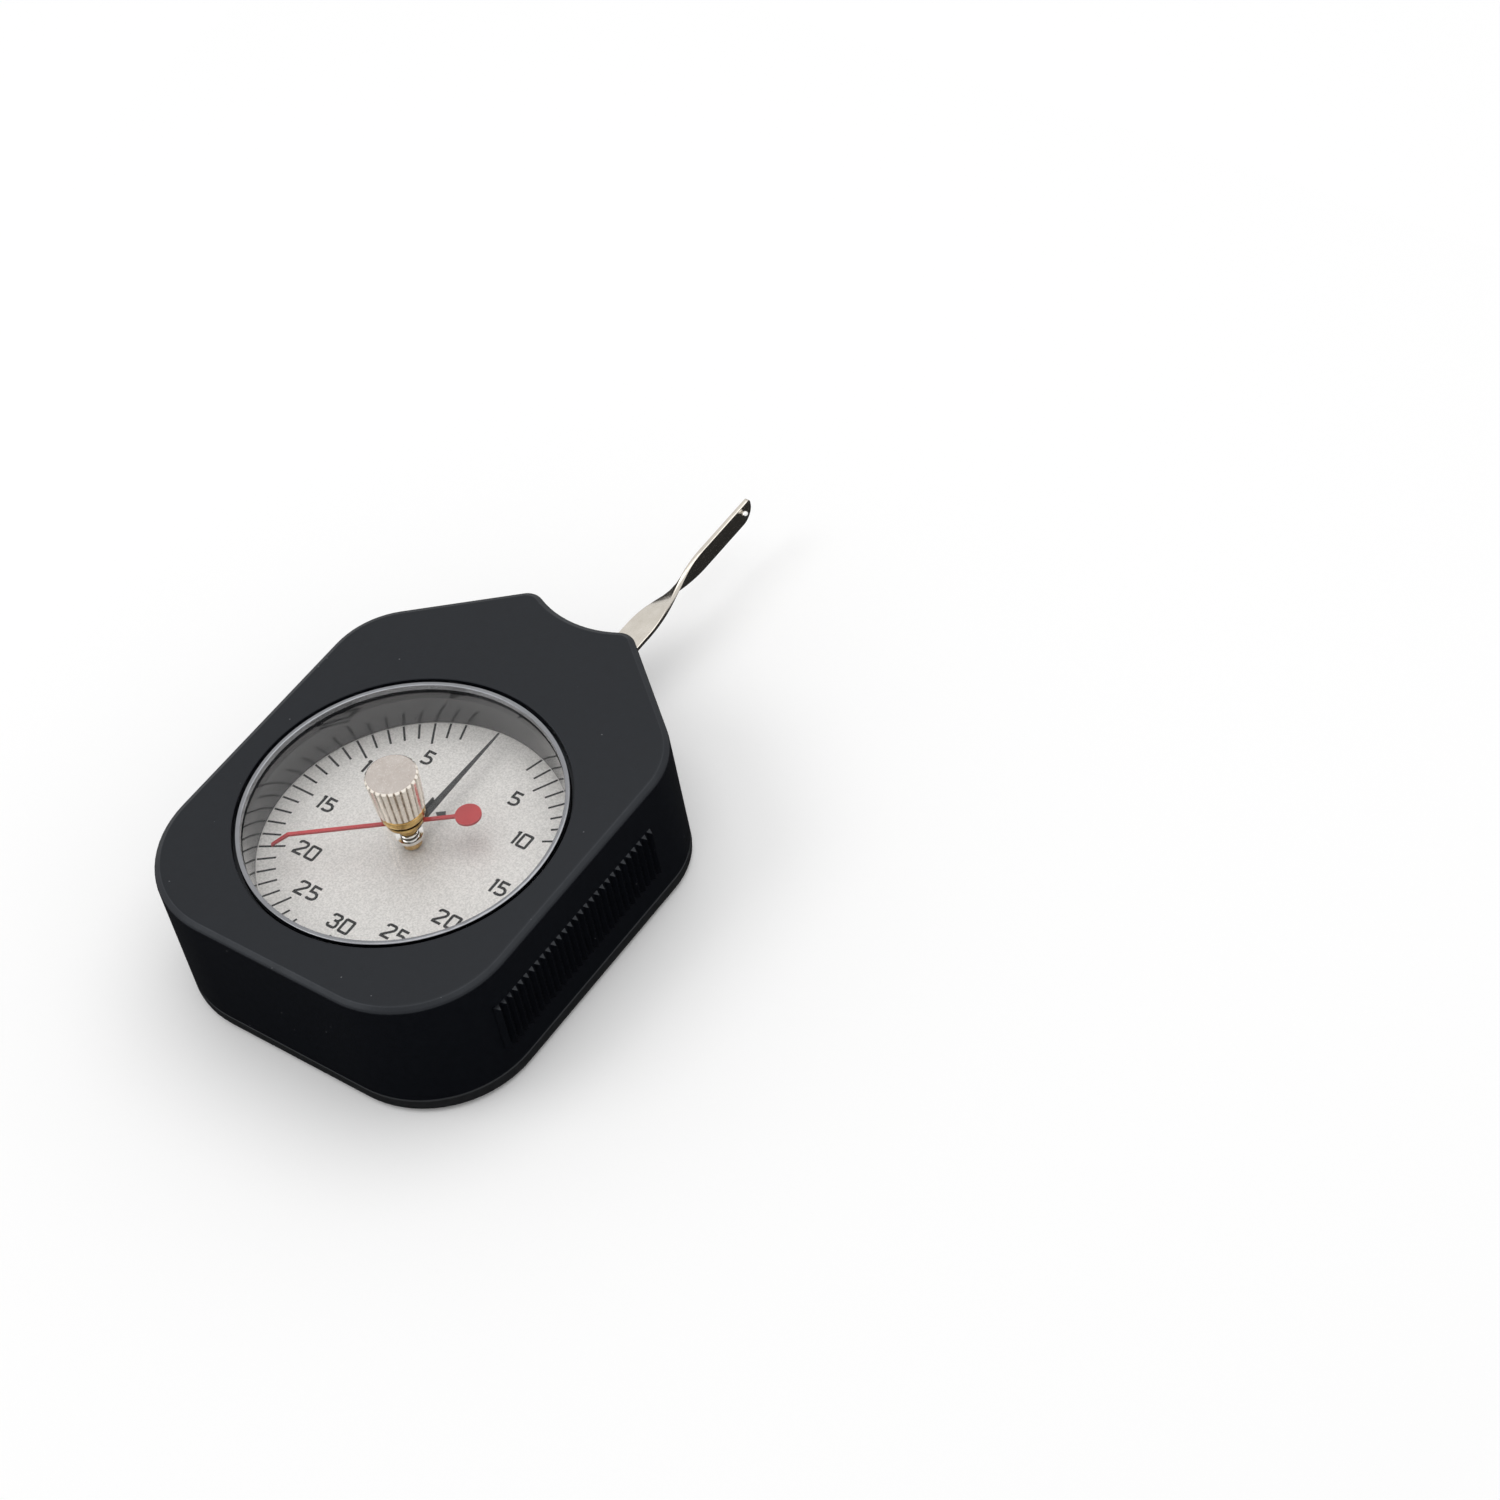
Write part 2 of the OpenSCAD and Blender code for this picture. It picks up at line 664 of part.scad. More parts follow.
module sector_gear() {
    tooth_a = 360 / sector_teeth;
    teeth_each_side = floor(sector_half_angle / tooth_a);
    edge_a = (teeth_each_side + 0.5) * tooth_a;
    hub_r = 4;
    rim = concat(
        [polar(sector_pitch_r - 0.4, -90 - edge_a)],
        [for (i = [-teeth_each_side:teeth_each_side]) each sector_tooth(-90 + i * tooth_a)],
        [polar(sector_pitch_r - 0.4, -90 + edge_a)]
    );
    color([0.80, 0.66, 0.36]) about_dial_axis() translate([0, lever_y, strip_top])
        linear_extrude(sector_t) difference() {
            union() {
                circle(hub_r);
                polygon(concat([polar(3.2, -10)], [polar(3.2, -170)], rim));
            }
            polygon(concat(
                arc([0, 0], 6.5, -90 + edge_a * 0.5, -90 - edge_a * 0.5, 6),
                arc([0, 0], 21, -90 - edge_a * 0.78, -90 + edge_a * 0.78, 12)
            ));
            circle(hub_neck_hole_r);
            for (a = [0, 180]) rotate(a) translate([rivet_x, 0]) circle(rivet_hole_r);
        }
}

// Main pointer

function pinion_tooth(a) =
    let (root = pinion_pitch_r - tooth_h - 0.15, tip = pinion_pitch_r + tooth_h)
    let (wide = 9.5, mid = 7.3, narrow = 3)
    [
        polar(root, a - wide), polar(pinion_pitch_r, a - mid), polar(tip, a - narrow),
        polar(tip, a + narrow), polar(pinion_pitch_r, a + mid), polar(root, a + wide)
    ];

module pinion_arbor() {
    tooth_a = 360 / pinion_teeth;
    color([0.66, 0.67, 0.69]) about_dial_axis() union() {
        rod(arbor_r, rear_plate_z, arbor_top);
        translate([0, 0, strip_z - 0.2]) linear_extrude(2.2)
            polygon([for (i = [0:pinion_teeth - 1]) each pinion_tooth(90 + (i + 0.5) * tooth_a)]);
    }
}

module hairspring_collet() {
    color([0.78, 0.62, 0.32]) about_dial_axis() tube(1.35, arbor_r, 6.8, 8.4);
}

// A bright washer under the pointer on a stem that ends above the dial, and a slotted cap over it
module pointer_hub() {
    stem_r = 1.5;
    washer_r = 2.15;
    washer_t = 0.6;
    neck_r = 0.85;
    cap_r = 1.4;
    hub_top = 19.6;
    color([0.80, 0.80, 0.82]) about_dial_axis() difference() {
        union() {
            rod(stem_r, dial_top + 0.3, pointer_z - washer_t);
            rod(washer_r, pointer_z - washer_t, pointer_z);
            rod(neck_r, pointer_z, hub_top);
            rod(cap_r, pointer_z + pointer_t, hub_top);
        }
        rod(arbor_r, 10, 30);
        for (i = [0:2]) rotate(60 * i) translate([0, 0, hub_top]) cube([8, 0.4, 0.3], center = true);
    }
}

module main_pointer() {
    tail = 1.45;
    tab_y0 = 4.4;
    tab_y1 = 6.85;
    tab_h = 0.8;
    base_w = 1.45;
    tip_half = 0.12;
    tab_x = -base_w / 2;
    color([0.08, 0.08, 0.09]) about_dial_axis() difference() {
        union() {
            translate([0, 0, pointer_z]) linear_extrude(pointer_t) union() {
                circle(tail);
                polygon([
                    [-base_w / 2, 0], [base_w / 2, 0], [tip_half, pointer_len], [-tip_half, pointer_len]
                ]);
                polygon([[tab_x, tab_y0 - 0.6], [0, tab_y0 - 0.6], [0, tab_y1], [tab_x, tab_y1]]);
            }
            translate([tab_x, tab_y0, pointer_z]) cube([0.2, tab_y1 - tab_y0, tab_h]);
        }
        rod(0.87, 10, 30);
    }
}

// Peak pointer and reset knob

module reset_knob() {
    knob_low = bush_top + 0.25;
    chamfer = 0.3;
    flute_depth = 0.26;
    taper = atan2(knob_r - knob_foot_r, knob_top - knob_low);
    color([0.78, 0.76, 0.73]) about_dial_axis() difference() {
        rotate_extrude() polygon([
            [0, knob_low], [knob_foot_r - 0.2, knob_low], [knob_foot_r, knob_low + 0.2],
            [knob_r, knob_top - chamfer], [knob_r - chamfer, knob_top], [0, knob_top]
        ]);
        rod(spindle_r, knob_low - 1, knob_top - 3);
        for (i = [0:knob_flutes - 1]) rotate(360 * i / knob_flutes)
            translate([knob_foot_r - flute_depth, 0, knob_low]) rotate([0, taper, 0]) rotate(-45)
                translate([0, 0, -2]) cube([2, 2, 20]);
    }
}

module reset_spindle() {
    color([0.66, 0.67, 0.69]) about_dial_axis() rod(spindle_r, peak_hub_low - 0.1, knob_top - 3.05);
}

module peak_hub() {
    hub_r = 1.5;
    color([0.80, 0.60, 0.28]) about_dial_axis() rotate_extrude() polygon([
        [spindle_r, peak_hub_low], [hub_r - 0.15, peak_hub_low], [hub_r, peak_hub_low + 0.15],
        [hub_r, peak_z], [spindle_r, peak_z]
    ]);
}

// The arm is drawn along +Y and then turned to its place. Its end bends down towards the dial.
module peak_pointer() {
    bend_r = 18;
    end_r = 21;
    end_z = 19.5;
    disc_r = 2.05;
    disc_y = -9.5;
    color([0.75, 0.20, 0.24]) about_dial_axis() rotate(-peak_angle) difference() {
        union() {
            translate([0, 0, peak_z]) linear_extrude(peak_t) union() {
                translate([-peak_half_w, disc_y]) square([2 * peak_half_w, bend_r - disc_y]);
                translate([0, disc_y]) circle(disc_r);
                circle(1.9);
            }
            translate([-peak_half_w, 0, 0]) rotate([90, 0, 90]) linear_extrude(2 * peak_half_w) polygon([
                [bend_r - 0.05, peak_z], [end_r, end_z], [end_r + 0.05, end_z + 0.3],
                [bend_r + 0.1, peak_z + peak_t], [bend_r - 0.2, peak_z + peak_t], [bend_r - 0.2, peak_z]
            ]);
        }
        rod(spindle_r, 10, 30);
    }
}

// A lug beside the arm, folded down towards the main pointer's tab
module drag_pin() {
    lug_t = 0.25;
    lug_x = 1.2;
    leg_low = 20.2;
    y0 = 4.5;
    y1 = 6.05;
    taper = 0.15;
    color([0.12, 0.12, 0.13]) about_dial_axis() rotate(-peak_angle) union() {
        translate([0, 0, peak_z]) linear_extrude(lug_t) polygon([
            [peak_half_w, -y0 - 2 * taper], [lug_x, -y0], [lug_x, -y1], [peak_half_w, -y1 + taper]
        ]);
        translate([lug_x - lug_t, 0, 0]) rotate([90, 0, 90]) linear_extrude(lug_t) polygon([
            [-y0 - taper / 2, peak_z + lug_t], [-y0 - 2 * taper, leg_low],
            [-y1 + taper, leg_low], [-y1 + taper / 2, peak_z + lug_t]
        ]);
    }
}

// Dial and zero setting

module dial_plate() {
    color([0.84, 0.84, 0.82]) about_dial_axis() tube(dial_r, 1, dial_bottom, dial_top);
}

module dial_carrier() {
    wall_top = dial_bottom - carrier_flange_t;
    floor_top = carrier_z0 + carrier_floor_t;
    reach = 40;
    open_x = reach * tan(carrier_open_angle);
    color([0.30, 0.30, 0.31]) about_dial_axis() union() {
        difference() {
            rod(carrier_r, carrier_z0, floor_top);
            rod(6, carrier_z0 - 1, floor_top + 1);
            for (i = [0:2]) rotate(120 * i) translate([0, -17]) rod(0.8, carrier_z0 - 1, floor_top + 1);
        }
        difference() {
            tube(carrier_r, carrier_inner_r, floor_top - eps, wall_top + eps);
            translate([0, 0, floor_top]) linear_extrude(30)
                polygon([[0, 0], [open_x, reach], [-open_x, reach]]);
        }
        tube(carrier_r, 21, wall_top, dial_bottom);
    }
}

module zero_ring() {
    face_z = 0.3;
    flange_z = 2.45;
    grip_count = 40;
    color([0.14, 0.14, 0.15]) about_dial_axis() difference() {
        union() {
            rod(zero_ring_r, face_z, carrier_z0);
            rod(24, flange_z, carrier_z0);
        }
        // Dished centre with a ring of grip grooves around it
        translate([0, 0, face_z - 1]) cylinder(r1 = 15.4, r2 = 13.2, h = 2);
        for (i = [0:grip_count - 1]) rotate(360 * i / grip_count)
            translate([18.6, 0, face_z]) cube([2.6, 0.9, 0.9], center = true);
        for (i = [0:2]) rotate(120 * i) translate([0, -17]) {
            rod(0.8, -1, carrier_z0 + 1);
            rod(1.5, -1, 1.3);
        }
    }
}

module zero_ring_screws() {
    color([0.60, 0.61, 0.62]) about_dial_axis() for (i = [0:2])
        rotate(120 * i) translate([0, -17, 1.3]) difference() {
            union() {
                rod(1.4, -0.7, 0);
                rod(0.75, -0.7, carrier_z0 + carrier_floor_t - 1.4);
            }
            translate([0, 0, -0.7]) cube([4, 0.4, 0.5], center = true);
        }
}

front_case();
rear_cover();
cover_screws();
crystal();
crystal_ring();
inner_sleeve();
crystal_bush();
bush_nut();
movement_rear_plate();
movement_front_plate();
movement_pillars();
mounting_sleeves();
movement_screws();
mounting_screws();
lever_bushes();
arbor_bushes();
stop_pins();
measuring_spring();
spring_stud();
hairspring();
hairspring_stud();
feeler();
contact_pin();
lever_shaft();
lever_hub();
hub_rivets();
spring_collet();
sector_gear();
pinion_arbor();
hairspring_collet();
pointer_hub();
main_pointer();
reset_knob();
reset_spindle();
peak_hub();
peak_pointer();
drag_pin();
dial_plate();
dial_carrier();
zero_ring();
zero_ring_screws();
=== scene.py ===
import json
import math

import bmesh
import bpy
from mathutils import Matrix, Vector


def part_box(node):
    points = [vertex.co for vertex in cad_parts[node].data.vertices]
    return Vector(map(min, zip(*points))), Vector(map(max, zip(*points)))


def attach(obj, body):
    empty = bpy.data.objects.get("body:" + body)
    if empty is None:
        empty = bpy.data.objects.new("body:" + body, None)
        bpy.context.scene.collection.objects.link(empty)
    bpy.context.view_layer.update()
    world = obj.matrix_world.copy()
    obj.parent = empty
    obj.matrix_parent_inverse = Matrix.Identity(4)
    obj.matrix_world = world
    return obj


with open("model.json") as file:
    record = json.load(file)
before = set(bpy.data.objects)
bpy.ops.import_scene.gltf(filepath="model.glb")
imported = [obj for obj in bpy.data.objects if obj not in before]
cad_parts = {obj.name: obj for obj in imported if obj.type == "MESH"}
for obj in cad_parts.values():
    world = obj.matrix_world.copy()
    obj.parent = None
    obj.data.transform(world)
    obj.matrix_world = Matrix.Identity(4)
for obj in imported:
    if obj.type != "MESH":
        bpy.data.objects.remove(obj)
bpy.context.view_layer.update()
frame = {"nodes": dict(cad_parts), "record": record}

MM = 0.001
nodes = frame["nodes"]
scene = bpy.context.scene

# The dial's centre, on its face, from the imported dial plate
dial_low, dial_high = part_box("dial_plate")
DIAL = Vector(((dial_low.x + dial_high.x) / 2, (dial_low.y + dial_high.y) / 2, dial_high.z))


# Camera: the place and directions solved from the window's circle and the case's straight sides

CAMERA_PLACE = Vector((0.2849, -0.2498, 0.4262))
CAMERA_FORWARD = Vector((-0.457, 0.480, -0.748))
CAMERA_UP = Vector((-0.362, 0.669, 0.650))
FOCAL_MM = 86.4
SENSOR_MM = 36.0
NEAREST_SEEN = 0.01
FARTHEST_SEEN = 20


def add_camera():
    forward = CAMERA_FORWARD.normalized()
    right = forward.cross(CAMERA_UP).normalized()
    up = right.cross(forward)
    data = bpy.data.cameras.new("camera")
    data.lens = FOCAL_MM
    data.sensor_width = SENSOR_MM
    data.clip_start = NEAREST_SEEN
    data.clip_end = FARTHEST_SEEN
    camera = bpy.data.objects.new("camera", data)
    scene.collection.objects.link(camera)
    turn = Matrix((right, up, -forward)).transposed()
    camera.matrix_world = Matrix.Translation(CAMERA_PLACE) @ turn.to_4x4()
    scene.camera = camera


# Studio

FLOOR_SIZE = 8.0
FLOOR_COLOUR = (0.96, 0.96, 0.96)
# How much lighter the camera sees the floor near the object and far away, and the distances between which
# this changes
FLOOR_LIFT = 0.04
FAR_LIFT = 0.50
FADE_START = 0.20
FADE_END = 1.60
CARD_SIZE = 0.36
CARD_HEIGHT = 0.00005
CARD_COLOUR = (0.03, 0.03, 0.03)
SHEET_ROUGHNESS = 0.9
SHEET_SPECULAR = 0.1
WORLD_LIGHT = 0.64
# Each lamp's place from the dial's centre, its diameter and its power in watts
SOFTBOXES = {
    "key": ((0.06, 0.23, 0.95), 1.10, 3.6),
    "fill": ((-0.46, -0.41, 0.79), 0.50, 1.3),
}


def calculated(tree, operation, first, second):
    """The result of one maths node. second is a socket or a number."""
    made = tree.nodes.new("ShaderNodeMath")
    made.operation = operation
    tree.links.new(first, made.inputs[0])
    if isinstance(second, bpy.types.NodeSocket):
        tree.links.new(second, made.inputs[1])
    else:
        made.inputs[1].default_value = second
    return made.outputs[0]


def add_level_sheet(name, size, height, colour):
    mesh = bpy.data.meshes.new(name)
    h = size / 2
    corners = [(-h, -h, height), (h, -h, height), (h, h, height), (-h, h, height)]
    mesh.from_pydata(corners, [], [(0, 1, 2, 3)])
    sheet = bpy.data.objects.new(name, mesh)
    scene.collection.objects.link(sheet)
    paint = bpy.data.materials.new(name)
    paint.use_nodes = True
    shader = paint.node_tree.nodes["Principled BSDF"]
    shader.inputs["Base Color"].default_value = (*colour, 1)
    shader.inputs["Roughness"].default_value = SHEET_ROUGHNESS
    shader.inputs["Specular IOR Level"].default_value = SHEET_SPECULAR
    mesh.materials.append(paint)
    return sheet


def add_floor():
    """The pale floor. The camera sees it a little lighter than it is lit, and white far from the object."""
    floor = add_level_sheet("floor", FLOOR_SIZE, 0, FLOOR_COLOUR)
    tree = floor.data.materials[0].node_tree
    path = tree.nodes.new("ShaderNodeLightPath")
    place = tree.nodes.new("ShaderNodeTexCoord")
    away = tree.nodes.new("ShaderNodeVectorMath")
    away.operation = "LENGTH"
    tree.links.new(place.outputs["Object"], away.inputs[0])
    fade = tree.nodes.new("ShaderNodeMapRange")
    fade.interpolation_type = "SMOOTHSTEP"
    fade.inputs["From Min"].default_value = FADE_START
    fade.inputs["From Max"].default_value = FADE_END
    fade.inputs["To Min"].default_value = FLOOR_LIFT
    fade.inputs["To Max"].default_value = FAR_LIFT
    tree.links.new(away.outputs["Value"], fade.inputs["Value"])
    lift = calculated(tree, "MULTIPLY", path.outputs["Is Camera Ray"], fade.outputs["Result"])
    shader = tree.nodes["Principled BSDF"]
    shader.inputs["Emission Color"].default_value = (1, 1, 1, 1)
    tree.links.new(lift, shader.inputs["Emission Strength"])


def add_black_card():
    """A studio's black card on the floor. It shows only in reflections, like the dark tray in the photo."""
    card = add_level_sheet("black_card", CARD_SIZE, CARD_HEIGHT, CARD_COLOUR)
    card.visible_camera = False
    card.visible_diffuse = False
    card.visible_transmission = False
    card.visible_shadow = False


def add_world():
    """White all round. It lights matt surfaces less brightly than it looks to the camera and in mirrors."""
    world = bpy.data.worlds.new("studio")
    world.use_nodes = True
    tree = world.node_tree
    tree.nodes.clear()
    path = tree.nodes.new("ShaderNodeLightPath")
    seen = calculated(tree, "MAXIMUM", path.outputs["Is Camera Ray"], path.outputs["Is Glossy Ray"])
    seen = calculated(tree, "MAXIMUM", seen, path.outputs["Is Transmission Ray"])
    strength = tree.nodes.new("ShaderNodeMapRange")
    strength.inputs["To Min"].default_value = WORLD_LIGHT
    strength.inputs["To Max"].default_value = 1.0
    tree.links.new(seen, strength.inputs["Value"])
    background = tree.nodes.new("ShaderNodeBackground")
    background.inputs["Color"].default_value = (1, 1, 1, 1)
    tree.links.new(strength.outputs["Result"], background.inputs["Strength"])
    output = tree.nodes.new("ShaderNodeOutputWorld")
    tree.links.new(background.outputs[0], output.inputs["Surface"])
    scene.world = world


def add_softbox(name, place, size, power):
    """A round soft lamp that points at the dial."""
    data = bpy.data.lights.new(name, "AREA")
    data.shape = "DISK"
    data.size = size
    data.energy = power
    lamp = bpy.data.objects.new(name, data)
    scene.collection.objects.link(lamp)
    lamp.location = DIAL + Vector(place)
    lamp.rotation_mode = "QUATERNION"
    lamp.rotation_quaternion = Vector(place).to_track_quat("Z", "Y")


# Shader building

# Noise stays between these values on nearly all of a surface
NOISE_LOW = 0.3
NOISE_HIGH = 0.7


class Paint:
    """A material, with short calls for the nodes that its surface needs.

    Coordinates are the part's own, in millimetres.
    """

    def __init__(self, name):
        self.material = bpy.data.materials.new(name)
        self.material.use_nodes = True
        self.tree = self.material.node_tree
        self.shader = self.tree.nodes["Principled BSDF"]
        self.place = self.node("ShaderNodeTexCoord")
        scaled = self.node("ShaderNodeVectorMath", operation="SCALE")
        scaled.inputs["Scale"].default_value = 1 / MM
        self.link(self.place.outputs["Object"], scaled.inputs[0])
        self.mm = scaled.outputs[0]

    def node(self, kind, **settings):
        made = self.tree.nodes.new(kind)
        for key, value in settings.items():
            setattr(made, key, value)
        return made

    def link(self, source, target):
        self.tree.links.new(source, target)

    def set(self, **values):
        for key, value in values.items():
            self.shader.inputs[key.replace("_", " ")].default_value = value

    def colour(self, socket):
        self.link(socket, self.shader.inputs["Base Color"])

    def roughness(self, socket):
        self.link(socket, self.shader.inputs["Roughness"])

    def calculated(self, operation, first, second):
        return calculated(self.tree, operation, first, second)

    def split(self, vector):
        """The outputs X, Y and Z of a vector."""
        made = self.node("ShaderNodeSeparateXYZ")
        self.link(vector, made.inputs[0])
        return made.outputs

    def facing(self, axis):
        """How far the surface faces along an axis of the part, from -1 to 1."""
        return self.split(self.place.outputs["Normal"])[axis]

    def stretched(self, scale):
        """The coordinates multiplied by one number for each axis."""
        made = self.node("ShaderNodeVectorMath", operation="MULTIPLY")
        made.inputs[1].default_value = scale
        self.link(self.mm, made.inputs[0])
        return made.outputs[0]

    def noise(self, scale, detail, rough=0.5, vector=None):
        made = self.node("ShaderNodeTexNoise")
        made.inputs["Scale"].default_value = scale
        made.inputs["Detail"].default_value = detail
        made.inputs["Roughness"].default_value = rough
        self.link(vector or self.mm, made.inputs["Vector"])
        return made.outputs["Fac"]

    def ranged(self, value, low, high, to_low=0, to_high=1):
        """value, which runs from low to high, made to run from to_low to to_high and cut off there."""
        made = self.node("ShaderNodeMapRange")
        made.inputs["From Min"].default_value = low
        made.inputs["From Max"].default_value = high
        made.inputs["To Min"].default_value = to_low
        made.inputs["To Max"].default_value = to_high
        self.link(value, made.inputs["Value"])
        return made.outputs["Result"]

    def clouds(self, scale, detail, to_low=0, to_high=1):
        """Noise that runs from to_low to to_high."""
        return self.ranged(self.noise(scale, detail), NOISE_LOW, NOISE_HIGH, to_low, to_high)

    def mixed(self, factor, first, second):
        """A colour between first and second. Each is a colour or a socket."""
        made = self.node("ShaderNodeMix", data_type="RGBA")
        self.link(factor, made.inputs["Factor"])
        for index, colour in ((6, first), (7, second)):
            if isinstance(colour, bpy.types.NodeSocket):
                self.link(colour, made.inputs[index])
            else:
                made.inputs[index].default_value = (*colour, 1)
        return made.outputs[2]

    def bump(self, height, depth_mm):
        made = self.node("ShaderNodeBump")
        made.inputs["Strength"].default_value = 1.0
        made.inputs["Distance"].default_value = depth_mm * MM
        self.link(height, made.inputs["Height"])
        self.link(made.outputs["Normal"], self.shader.inputs["Normal"])

    def specks(self, cell_mm, radius_mm, share):
        """1 on small round specks: one in each cell of a random pattern, kept in that share of the cells."""
        made = self.node("ShaderNodeTexVoronoi")
        made.inputs["Scale"].default_value = 1 / cell_mm
        self.link(self.mm, made.inputs["Vector"])
        near = self.calculated("LESS_THAN", made.outputs["Distance"], radius_mm / cell_mm)
        chance = self.node("ShaderNodeSeparateColor")
        self.link(made.outputs["Color"], chance.inputs[0])
        kept = self.calculated("LESS_THAN", chance.outputs[0], share)
        return self.calculated("MULTIPLY", near, kept)


# Materials. Colours are linear red, green and blue

# The cells of the pattern of specks, a speck's radius, and the share of the cells that have one
SPECK_CELL = 1.5
SPECK_RADIUS = 0.12
SPECK_SHARE = 0.12
SPECK_COLOUR = (0.080, 0.082, 0.088)
PLASTIC_SPECULAR = 0.27
PLASTIC_TINT = (0.90, 0.95, 1.0, 1)
PLASTIC_GRAIN_DEPTH = 0.012


def rubbed_share(paint):
    """How much of the painted edge highlight shows: most of all at the rim of the case's top."""
    right, up = paint.facing("X"), paint.facing("Z")
    shares = [
        paint.ranged(up, 0.985, 0.95),             # not on the flat top
        paint.ranged(up, 0.90, 0.93, 0.45, 1),     # about half as much below the rim
        paint.ranged(up, 0.15, 0.40),              # not on the walls
        paint.ranged(right, 0.05, 0.20, 1, 0.55),  # about half as much where the case faces right
        paint.clouds(0.35, 4, 0.6, 1),             # uneven
    ]
    result = shares[0]
    for share in shares[1:]:
        result = paint.calculated("MULTIPLY", result, share)
    return result


def matte_plastic(name, dark, light, grain_mm, edge_highlight=None):
    """Moulded plastic with faint specks. The last colour, if any, is a paler highlight painted on upper
    edges.
    """
    paint = Paint(name)
    moulded = paint.mixed(paint.clouds(0.9, 4), dark, light)
    surface = paint.mixed(paint.specks(SPECK_CELL, SPECK_RADIUS, SPECK_SHARE), moulded, SPECK_COLOUR)
    # A paler colour painted on the upper edges as a highlight
    if edge_highlight:
        surface = paint.mixed(rubbed_share(paint), surface, edge_highlight)
    paint.colour(surface)
    paint.roughness(paint.clouds(0.6, 5, 0.34, 0.40))
    paint.set(Specular_IOR_Level=PLASTIC_SPECULAR, Specular_Tint=PLASTIC_TINT)
    paint.bump(paint.noise(1 / grain_mm, 2), PLASTIC_GRAIN_DEPTH)
    return paint.material


def gloss_grey(name, dark, light):
    """Dark grey with a mirror's gloss, so that the dial's lines show in it as dark streaks."""
    paint = Paint(name)
    paint.set(Metallic=1.0)
    paint.colour(paint.mixed(paint.clouds(0.7, 4), dark, light))
    paint.roughness(paint.clouds(1.5, 4, 0.03, 0.05))
    paint.bump(paint.noise(0.5, 2), 0.002)
    return paint.material


def metal(name, pale, deep, rough, grain=(2.0, 2.0, 2.0), grain_depth=0.004, tarnish_and_dark_reflection=0.5):
    """Polished or brushed metal. The fine lines of its grain run along the axis with the small number."""
    paint = Paint(name)
    # Blotches of the deep colour: tarnish, and on brass also painted dark reflections
    worn = paint.ranged(paint.noise(0.5, 5, 0.6), 0.35, 0.75, 0, tarnish_and_dark_reflection)
    paint.colour(paint.mixed(worn, pale, deep))
    lines = paint.noise(1.0, 4, 0.6, paint.stretched(grain))
    smoothest, roughest = rough * 0.8, rough * 1.35
    paint.roughness(paint.ranged(lines, NOISE_LOW, NOISE_HIGH, smoothest, roughest))
    paint.set(Metallic=1.0)
    paint.bump(lines, grain_depth)
    return paint.material


KNOB_FLUTES = 24
# Distances from the groove, as shares of a flute's width: the darker colour is full up to the first and
# ends at the second
GROOVE_DARK_FULL = 0.05
GROOVE_DARK_END = 0.24
FLUTE_NICKEL = (0.86, 0.80, 0.725)
FLUTE_GROOVE = (0.37, 0.295, 0.23)
TOP_NICKEL = (0.55, 0.505, 0.470)
TOP_WORN = (0.48, 0.43, 0.392)


def knurled_nickel(name):
    """Nickel plate: a dull warm top, and bright flutes that are darker and brownish in their grooves."""
    paint = Paint(name)
    low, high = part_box("reset_knob")
    from_axis = paint.node("ShaderNodeVectorMath", operation="SUBTRACT")
    from_axis.inputs[1].default_value = ((low.x + high.x) / 2 / MM, (low.y + high.y) / 2 / MM, 0)
    paint.link(paint.mm, from_axis.inputs[0])
    across = paint.split(from_axis.outputs[0])
    angle = paint.calculated("ARCTAN2", across["Y"], across["X"])
    flutes = paint.calculated("MULTIPLY", angle, KNOB_FLUTES / (2 * math.pi))
    beside_groove = paint.calculated("PINGPONG", flutes, 0.5)
    groove_darkening = paint.ranged(beside_groove, GROOVE_DARK_FULL, GROOVE_DARK_END, 1, 0)
    patchy = paint.ranged(paint.noise(0.45, 4, 0.6), 0.35, 0.65, 0.35, 1)
    side = paint.mixed(paint.calculated("MULTIPLY", groove_darkening, patchy), FLUTE_NICKEL, FLUTE_GROOVE)
    worn = paint.ranged(paint.noise(0.55, 5, 0.65), 0.35, 0.70)
    top = paint.mixed(worn, TOP_NICKEL, TOP_WORN)
    paint.colour(paint.mixed(paint.ranged(paint.facing("Z"), 0.80, 0.95), side, top))
    grain = paint.noise(2.5, 4, 0.6)
    paint.roughness(paint.ranged(grain, NOISE_LOW, NOISE_HIGH, 0.16, 0.30))
    paint.set(Metallic=1.0)
    paint.bump(grain, 0.005)
    return paint.material


# The height in the part where the hub's brass stem ends and its washer starts, and the width of the change
HUB_STEM_TOP = 18.35
HUB_STEM_BLEND = 0.02
HUB_WASHER = ((0.84, 0.83, 0.81), (0.70, 0.69, 0.67))
HUB_BRASS = ((0.70, 0.47, 0.20), (0.36, 0.22, 0.09))


def hub_metal(name):
    """The pointer's hub: a bright washer and cap on a brass stem."""
    paint = Paint(name)
    worn = paint.clouds(0.9, 4)
    bright = paint.mixed(worn, *HUB_WASHER)
    brassy = paint.mixed(worn, *HUB_BRASS)
    above_stem = paint.ranged(paint.split(paint.mm)["Z"], HUB_STEM_TOP - HUB_STEM_BLEND, HUB_STEM_TOP)
    paint.colour(paint.mixed(above_stem, brassy, bright))
    paint.roughness(paint.clouds(2.5, 3, 0.09, 0.16))
    paint.set(Metallic=1.0)
    paint.bump(paint.noise(1.5, 2), 0.001)
    return paint.material


def painted(name, colour, shade, rough, shine):
    """Paint or ink with faint clouds of a second shade."""
    paint = Paint(name)
    paint.set(Specular_IOR_Level=shine)
    paint.colour(paint.mixed(paint.clouds(0.8, 4), colour, shade))
    smoothest, roughest = rough * 0.85, rough * 1.2
    paint.roughness(paint.clouds(3.0, 3, smoothest, roughest))
    paint.bump(paint.noise(5.0, 2), 0.004)
    return paint.material


